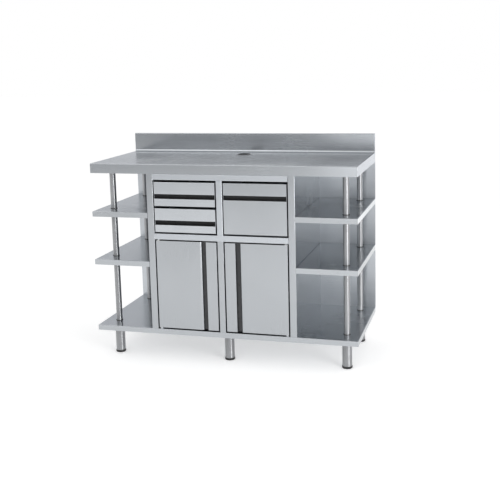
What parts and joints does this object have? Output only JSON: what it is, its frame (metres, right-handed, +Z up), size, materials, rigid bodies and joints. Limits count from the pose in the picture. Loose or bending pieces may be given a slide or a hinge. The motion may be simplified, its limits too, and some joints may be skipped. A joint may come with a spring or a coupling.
{
  "type": "waiter service station",
  "caption": "Free-standing stainless service counter with splashback, open side shelves on round posts, finger-grip drawers, a grounds drawer and a cupboard with doors, on levelling feet.",
  "frame": {"origin": "on the floor under the middle of the station", "axes": "+Z up, front of the station at -Y, +X to the right seen from the front"},
  "size_m": [1.4, 0.6, 1.15],
  "materials": {
    "sheet_steel": "brushed stainless sheet",
    "tube_steel": "polished stainless tube",
    "zinc_steel": "bright zinc-plated steel",
    "rubber": "thick black rubber sleeve",
    "black_plastic": "black plastic foot",
    "grommet_plastic": "dark grey plastic",
    "white_plastic": "white bearing plastic",
    "magnet_housing": "grey plastic housing"
  },
  "bodies": {
    "carcass": {"back_panel": "sheet_steel", "base_channels": "sheet_steel", "base_shelf": "sheet_steel", "cable_grommet": "grommet_plastic", "centre_stile": "sheet_steel", "door_magnets": "magnet_housing", "door_pivot_pins": "zinc_steel", "drawer_deck": "sheet_steel", "drawer_divider": "sheet_steel", "front_left_posts": "tube_steel", "front_legs": "tube_steel", "front_right_posts": "tube_steel", "hopper_cabinet_runners": "zinc_steel", "inner_shelf": "sheet_steel", "left_lining_panel": "sheet_steel", "left_lower_shelf": "sheet_steel", "left_side_panel": "sheet_steel", "left_upper_shelf": "sheet_steel", "lower_cabinet_runners": "zinc_steel", "rear_left_posts": "tube_steel", "rear_legs": "tube_steel", "rear_right_posts": "tube_steel", "right_lining_panel": "sheet_steel", "right_lower_shelf": "sheet_steel", "right_side_panel": "sheet_steel", "right_upper_shelf": "sheet_steel", "shelf_rails": "sheet_steel", "tie_rods": "zinc_steel", "top_rail": "sheet_steel", "upper_cabinet_runners": "zinc_steel", "worktop": "sheet_steel", "worktop_channels": "sheet_steel"},
    "upper_drawer": {"upper_drawer_front": "sheet_steel", "upper_drawer_box": "sheet_steel", "upper_drawer_runners": "zinc_steel"},
    "upper_middle_members": {"upper_middle_runners": "zinc_steel"},
    "lower_drawer": {"lower_drawer_front": "sheet_steel", "lower_drawer_box": "sheet_steel", "lower_drawer_runners": "zinc_steel"},
    "lower_middle_members": {"lower_middle_runners": "zinc_steel"},
    "hopper_drawer": {"hopper_drawer_front": "sheet_steel", "hopper_drawer_box": "sheet_steel", "hopper_drawer_runners": "zinc_steel", "hopper_bin": "sheet_steel", "knock_bar": "sheet_steel", "knock_bar_sleeve": "rubber"},
    "hopper_middle_members": {"hopper_middle_runners": "zinc_steel"},
    "left_door_leaf": {"left_door": "sheet_steel", "left_door_liner": "sheet_steel", "left_door_bushes": "white_plastic"},
    "right_door_leaf": {"right_door": "sheet_steel", "right_door_liner": "sheet_steel", "right_door_bushes": "white_plastic"},
    "front_centre_levelling_foot": {"front_centre_foot": "black_plastic"},
    "front_left_levelling_foot": {"front_left_foot": "black_plastic"},
    "front_right_levelling_foot": {"front_right_foot": "black_plastic"},
    "rear_centre_levelling_foot": {"rear_centre_foot": "black_plastic"},
    "rear_left_levelling_foot": {"rear_left_foot": "black_plastic"},
    "rear_right_levelling_foot": {"rear_right_foot": "black_plastic"}
  },
  "joints": [
    {"name": "upper_drawer_slide", "type": "slide", "parent": "carcass", "child": "upper_drawer", "axis": [0, -1, 0], "range_m": [0, 0.44]},
    {"name": "upper_middle_slide", "type": "slide", "parent": "carcass", "child": "upper_middle_members", "axis": [0, -1, 0], "range_m": [0, 0.22]},
    {"name": "lower_drawer_slide", "type": "slide", "parent": "carcass", "child": "lower_drawer", "axis": [0, -1, 0], "range_m": [0, 0.44]},
    {"name": "lower_middle_slide", "type": "slide", "parent": "carcass", "child": "lower_middle_members", "axis": [0, -1, 0], "range_m": [0, 0.22]},
    {"name": "hopper_drawer_slide", "type": "slide", "parent": "carcass", "child": "hopper_drawer", "axis": [0, -1, 0], "range_m": [0, 0.44]},
    {"name": "hopper_middle_slide", "type": "slide", "parent": "carcass", "child": "hopper_middle_members", "axis": [0, -1, 0], "range_m": [0, 0.22]},
    {"name": "left_door_hinge", "type": "hinge", "parent": "carcass", "child": "left_door_leaf", "pos_m": [-0.339, -0.29, 0.186], "axis": [0, 0, -1], "range_deg": [0, 105]},
    {"name": "right_door_hinge", "type": "hinge", "parent": "carcass", "child": "right_door_leaf", "pos_m": [0.339, -0.29, 0.186], "axis": [0, 0, 1], "range_deg": [0, 105]},
    {"name": "front_centre_foot_screw", "type": "slide", "parent": "carcass", "child": "front_centre_levelling_foot", "axis": [0, 0, -1], "range_m": [0, 0.025]},
    {"name": "front_left_foot_screw", "type": "slide", "parent": "carcass", "child": "front_left_levelling_foot", "axis": [0, 0, -1], "range_m": [0, 0.025]},
    {"name": "front_right_foot_screw", "type": "slide", "parent": "carcass", "child": "front_right_levelling_foot", "axis": [0, 0, -1], "range_m": [0, 0.025]},
    {"name": "rear_centre_foot_screw", "type": "slide", "parent": "carcass", "child": "rear_centre_levelling_foot", "axis": [0, 0, -1], "range_m": [0, 0.025]},
    {"name": "rear_left_foot_screw", "type": "slide", "parent": "carcass", "child": "rear_left_levelling_foot", "axis": [0, 0, -1], "range_m": [0, 0.025]},
    {"name": "rear_right_foot_screw", "type": "slide", "parent": "carcass", "child": "rear_right_levelling_foot", "axis": [0, 0, -1], "range_m": [0, 0.025]}
  ],
  "couplings": [
    {"joint": "upper_middle_slide", "follows": "upper_drawer_slide", "ratio": 0.5},
    {"joint": "lower_middle_slide", "follows": "lower_drawer_slide", "ratio": 0.5},
    {"joint": "hopper_middle_slide", "follows": "hopper_drawer_slide", "ratio": 0.5}
  ]
}
